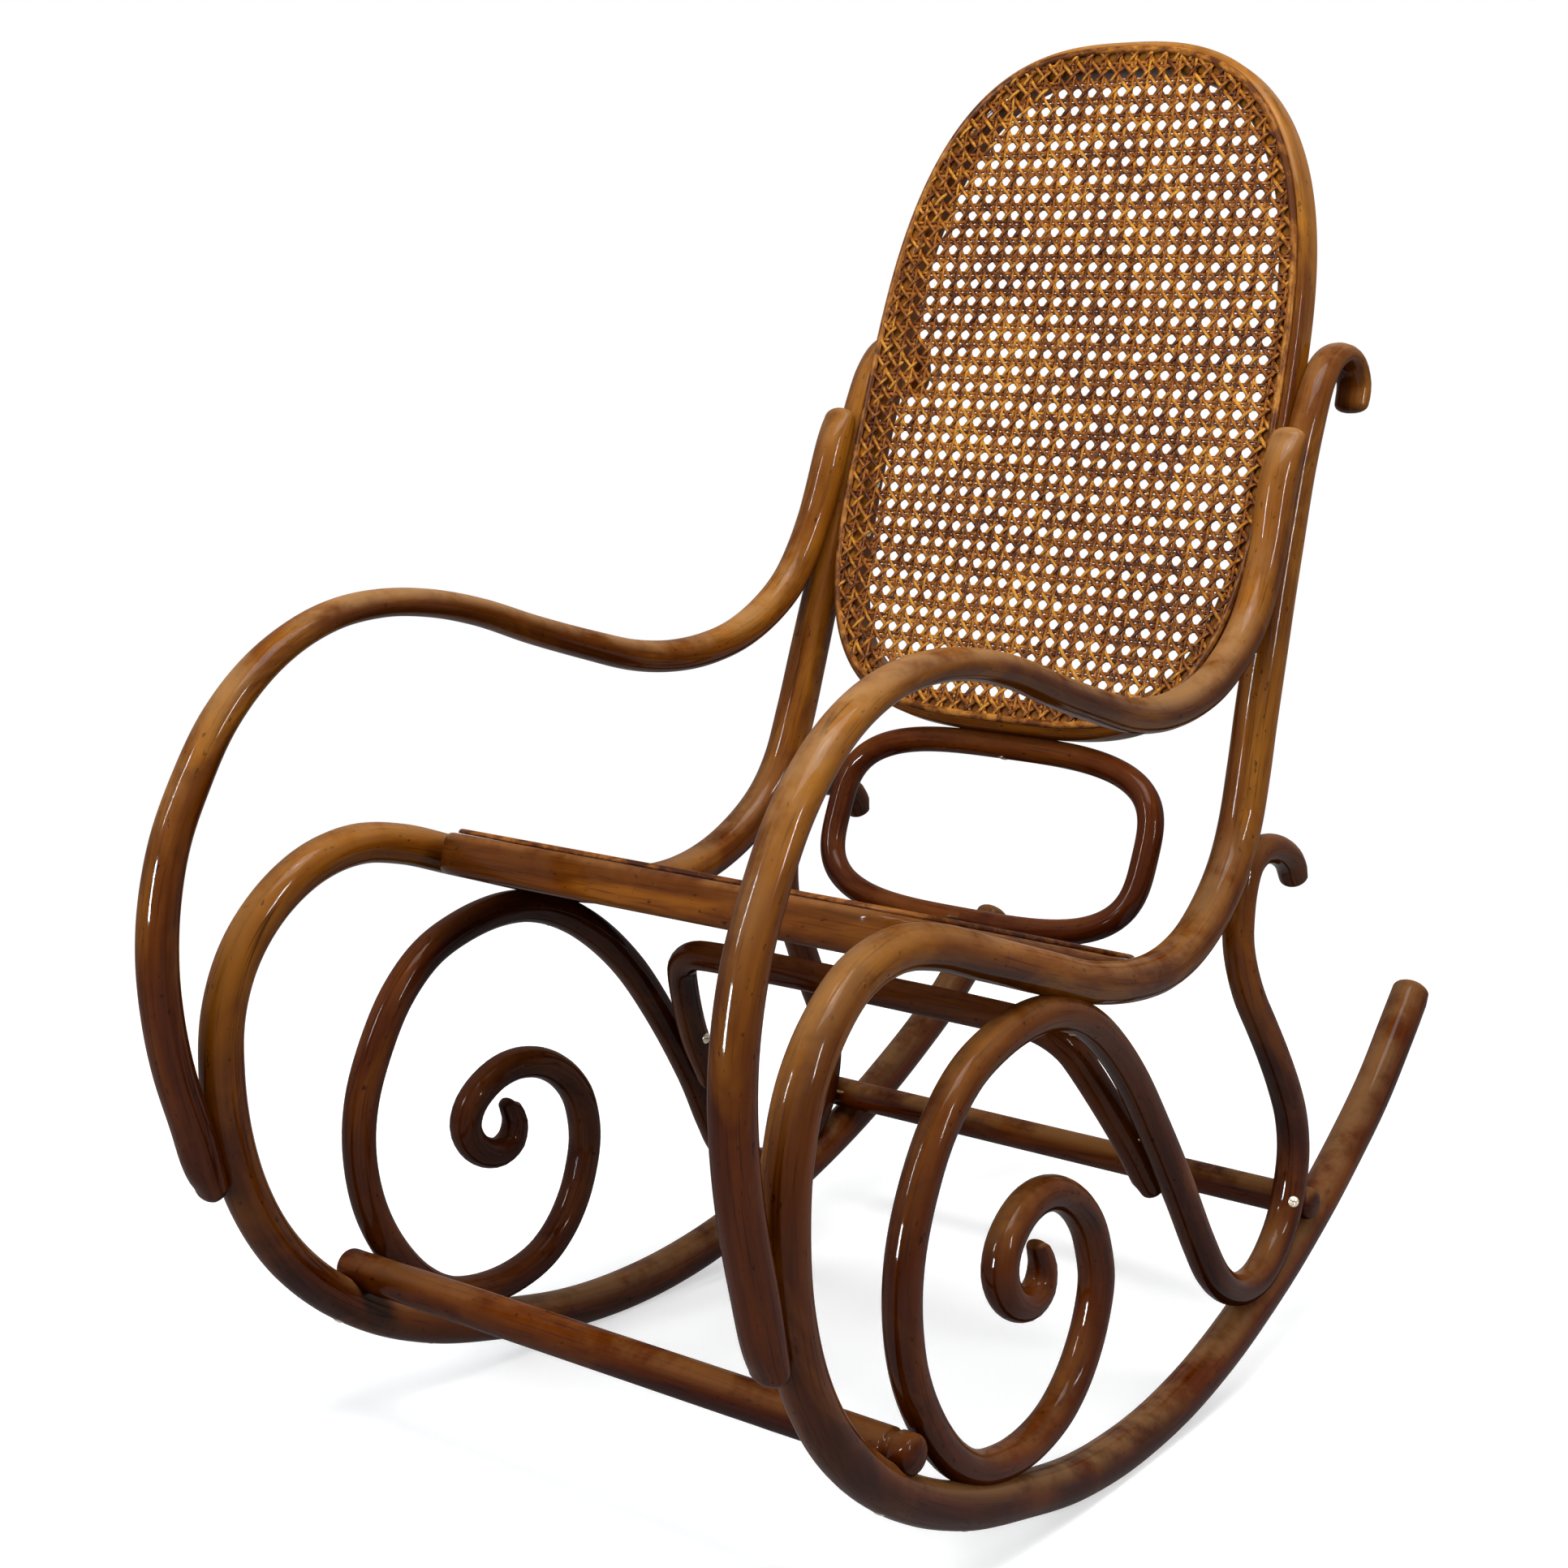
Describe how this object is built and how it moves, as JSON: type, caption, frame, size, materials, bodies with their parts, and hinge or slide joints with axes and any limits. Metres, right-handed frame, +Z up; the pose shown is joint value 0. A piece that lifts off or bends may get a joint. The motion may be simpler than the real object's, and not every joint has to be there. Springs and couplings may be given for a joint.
{
  "type": "bentwood rocking chair",
  "caption": "Bentwood rocking chair: rods bent into rockers, posts, arms and scrolls, with a caned seat and a tall caned back.",
  "frame": {"origin": "on the floor under the middle of the whole chair", "axes": "+Z up, +Y towards the chair's back, +X towards the sitter's left"},
  "size_m": [0.5344, 1.008, 1.0436],
  "materials": {
    "outer_wood": "glossy varnish",
    "inner_wood": "dark glossy varnish",
    "cane": "satin varnished cane",
    "cane_binding": "satin varnished cane",
    "steel": "worn plated screws"
  },
  "bodies": {
    "root": {"side_rod_left": "outer_wood", "side_rod_right": "outer_wood", "arm_left": "outer_wood", "arm_right": "outer_wood", "scroll_left": "inner_wood", "scroll_right": "inner_wood", "seat_ring": "inner_wood", "seat_cane": "cane", "seat_cane_binding": "cane_binding", "back_frame": "outer_wood", "back_cane": "cane", "back_cane_binding": "cane_binding", "back_oval": "inner_wood", "seat_brace": "inner_wood", "stretcher_front": "inner_wood", "stretcher_rear": "inner_wood", "arm_front_screw_left": "steel", "arm_front_screw_right": "steel", "arm_top_screw_left": "steel", "arm_top_screw_right": "steel", "scroll_seat_screw_left": "steel", "scroll_seat_screw_right": "steel", "scroll_front_screw_left": "steel", "scroll_front_screw_right": "steel", "scroll_rear_screw_left": "steel", "scroll_rear_screw_right": "steel", "scroll_curl_screw_left": "steel", "scroll_curl_screw_right": "steel", "rear_stretcher_screw_left": "steel", "rear_stretcher_screw_right": "steel", "front_stretcher_screw_left": "steel", "front_stretcher_screw_right": "steel", "brace_screw_left": "steel", "brace_screw_right": "steel", "seat_front_screw_left": "steel", "seat_front_screw_right": "steel", "seat_rear_screw_left": "steel", "seat_rear_screw_right": "steel", "back_low_screw_left": "steel", "back_low_screw_right": "steel", "back_high_screw_left": "steel", "back_high_screw_right": "steel", "oval_top_screw": "steel", "oval_seat_screw": "steel"}
  },
  "joints": []
}
